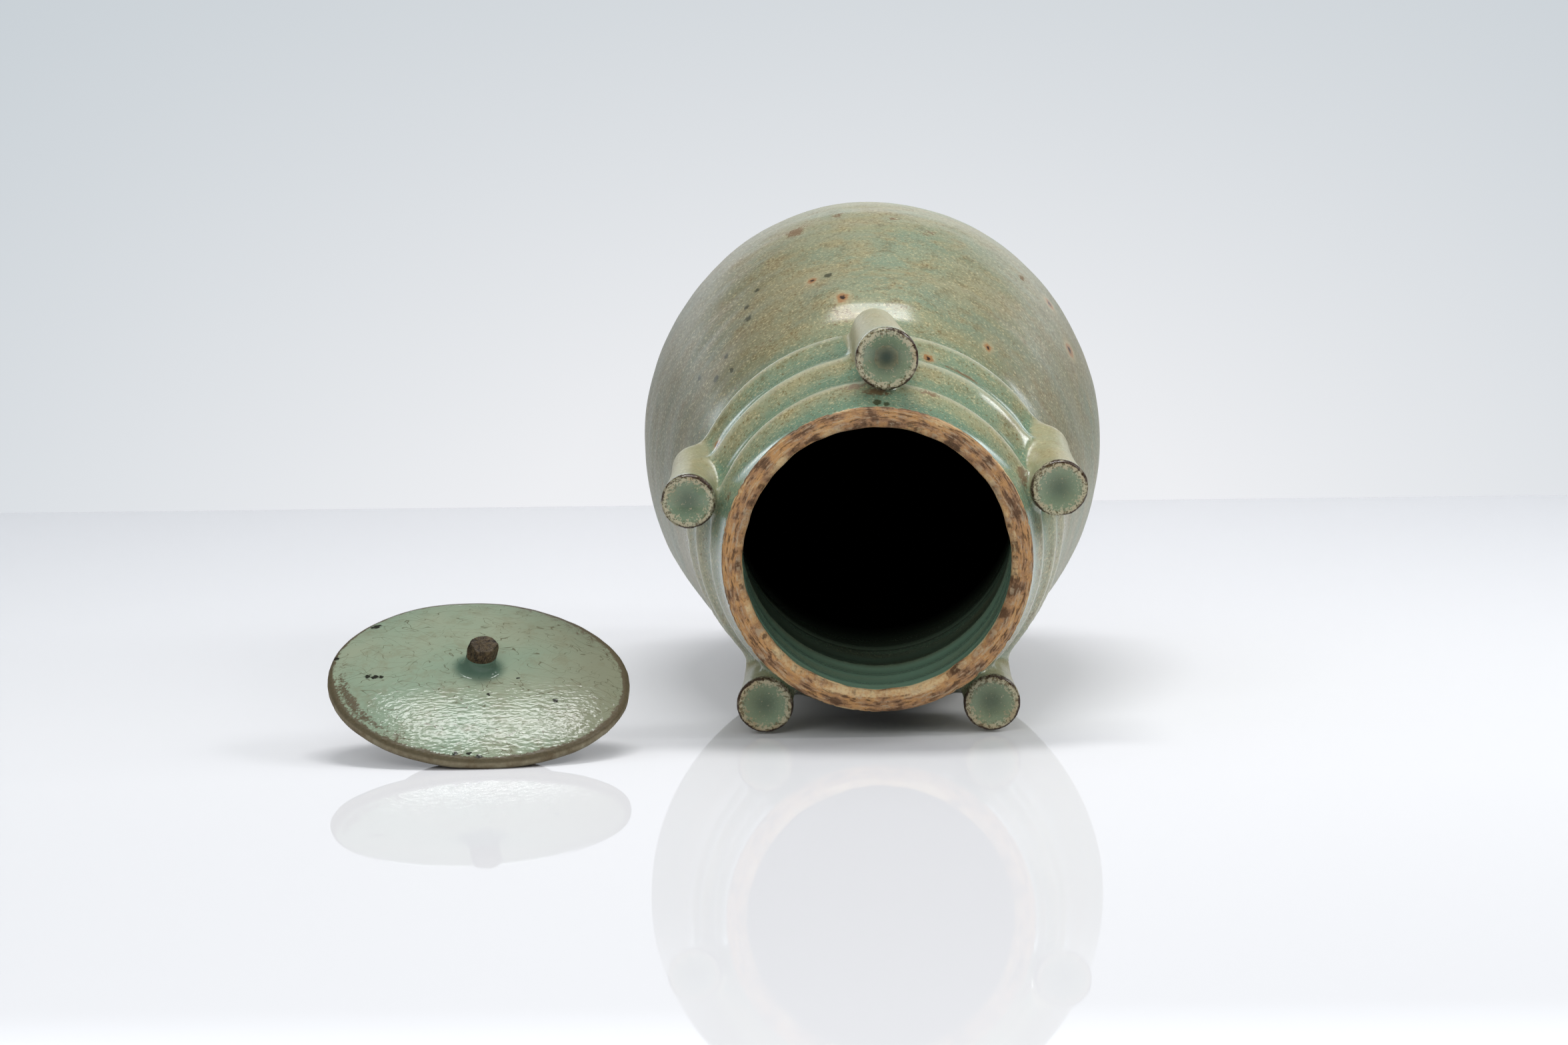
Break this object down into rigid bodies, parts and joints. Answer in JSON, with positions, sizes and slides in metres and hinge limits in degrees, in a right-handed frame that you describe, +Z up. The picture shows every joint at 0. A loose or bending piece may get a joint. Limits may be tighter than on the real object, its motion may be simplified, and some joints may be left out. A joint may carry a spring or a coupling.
{
  "type": "five-spouted jar",
  "caption": "Glazed stoneware jar with a ridged shoulder, a ring of closed tubular spouts round its neck, and a domed cover, laid on its side beside the cover.",
  "frame": {"origin": "on the surface that the jar and its cover lie on, under the middle of the box that holds both", "axes": "+Z up from the surface, +Y from the jar's mouth towards its foot, +X to the right as seen from the mouth's side"},
  "size_m": [0.2274, 0.3582, 0.1482],
  "materials": {
    "body_glaze": "grey-olive celadon glaze, pooled darker in the valleys, with brown pits and stains",
    "cover_glaze": "pale jade celadon glaze with fine scratches",
    "bare_stoneware": "rough unglazed stoneware fired orange-brown",
    "broken_knob": "worn break in stoneware with glaze round its base"
  },
  "bodies": {
    "jar": {"upper_body": "body_glaze", "lower_body": "body_glaze", "ridged_neck": "body_glaze", "foot_ring": "bare_stoneware", "spout_top": "body_glaze", "spout_upper_left": "body_glaze", "spout_lower_left": "body_glaze", "spout_lower_right": "body_glaze", "spout_upper_right": "body_glaze"},
    "cover": {"cover_plate": "cover_glaze", "cover_collar": "bare_stoneware", "cover_knob": "broken_knob"}
  },
  "joints": [
    {"name": "cover_lift", "type": "slide", "parent": "jar", "child": "cover", "axis": [0, 0, 1], "range_m": [0, 0.16]}
  ]
}
